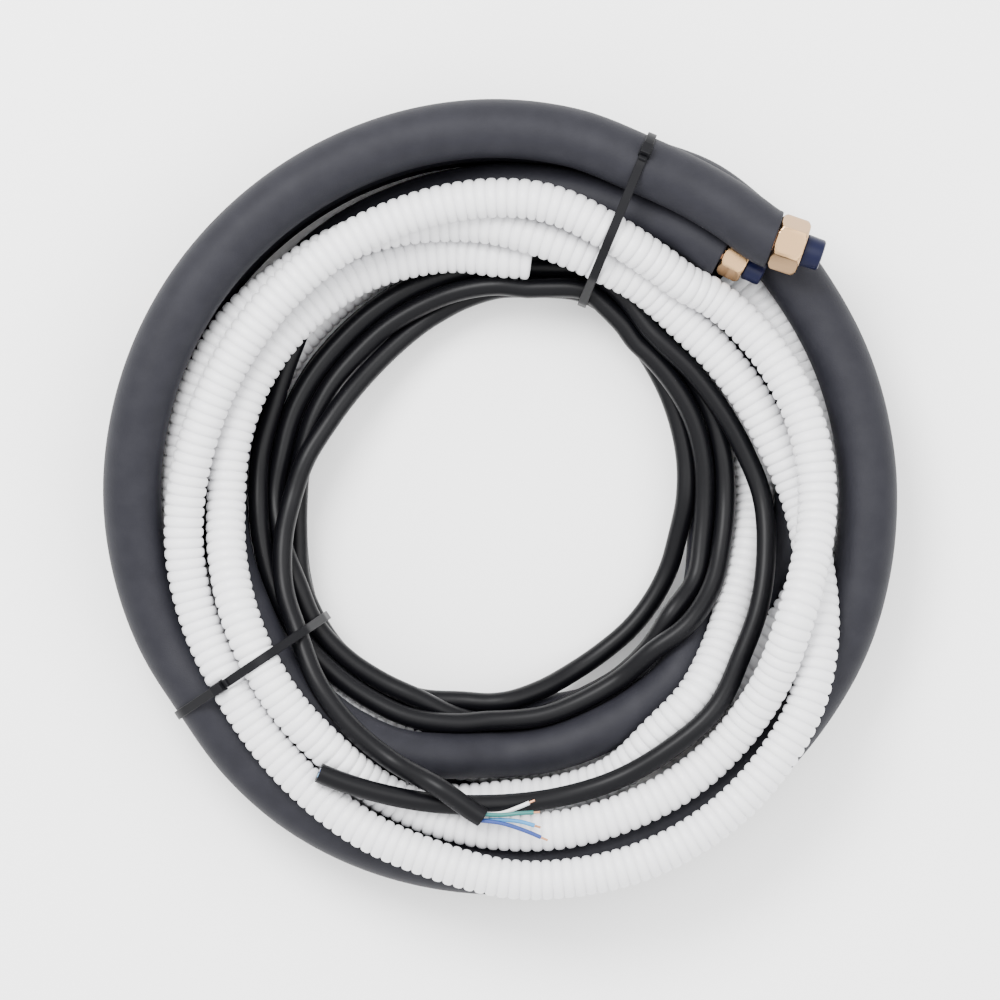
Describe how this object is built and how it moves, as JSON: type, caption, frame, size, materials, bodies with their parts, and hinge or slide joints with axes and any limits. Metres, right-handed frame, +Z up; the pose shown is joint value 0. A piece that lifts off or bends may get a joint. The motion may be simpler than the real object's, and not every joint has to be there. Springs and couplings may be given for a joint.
{
  "type": "mini split line set",
  "caption": "Coiled line set: foam-covered suction and liquid copper tubes with capped flare nuts, ribbed drain hose and control cable, held by cable ties.",
  "frame": {"origin": "centre of the coil's box on the plane that it lies on", "axes": "+Z up along the coil's axis; the two flare nuts lie at +X +Y, the stripped cable end at -Y"},
  "size_m": [0.4194, 0.419, 0.1009],
  "materials": {
    "suction_copper_tube": "drawn, satin",
    "suction_insulation": "closed-cell foam skin, matt",
    "suction_nut_upper": "machined, satin",
    "suction_cap_upper": "moulded, satin",
    "suction_nut_lower": "machined, satin",
    "suction_cap_lower": "moulded, satin",
    "liquid_copper_tube": "drawn, satin",
    "liquid_insulation": "closed-cell foam skin, matt",
    "liquid_nut_upper": "machined, satin",
    "liquid_cap_upper": "moulded, satin",
    "liquid_nut_lower": "machined, satin",
    "liquid_cap_lower": "moulded, satin",
    "drain_hose": "ribbed, slightly translucent",
    "control_cable": "smooth, satin",
    "blue_conductor": "smooth",
    "light_blue_conductor": "smooth",
    "green_conductor": "smooth",
    "white_conductor": "smooth",
    "cable_tie_upper": "moulded, satin",
    "cable_tie_lower": "moulded, satin"
  },
  "bodies": {
    "root": {"suction_copper_tube": "suction_copper_tube", "suction_insulation": "suction_insulation", "suction_nut_upper": "suction_nut_upper", "suction_cap_upper": "suction_cap_upper", "suction_nut_lower": "suction_nut_lower", "suction_cap_lower": "suction_cap_lower", "liquid_copper_tube": "liquid_copper_tube", "liquid_insulation": "liquid_insulation", "liquid_nut_upper": "liquid_nut_upper", "liquid_cap_upper": "liquid_cap_upper", "liquid_nut_lower": "liquid_nut_lower", "liquid_cap_lower": "liquid_cap_lower", "drain_hose": "drain_hose", "control_cable": "control_cable", "blue_conductor": "blue_conductor", "light_blue_conductor": "light_blue_conductor", "green_conductor": "green_conductor", "white_conductor": "white_conductor", "cable_tie_upper": "cable_tie_upper", "cable_tie_lower": "cable_tie_lower"}
  },
  "joints": []
}
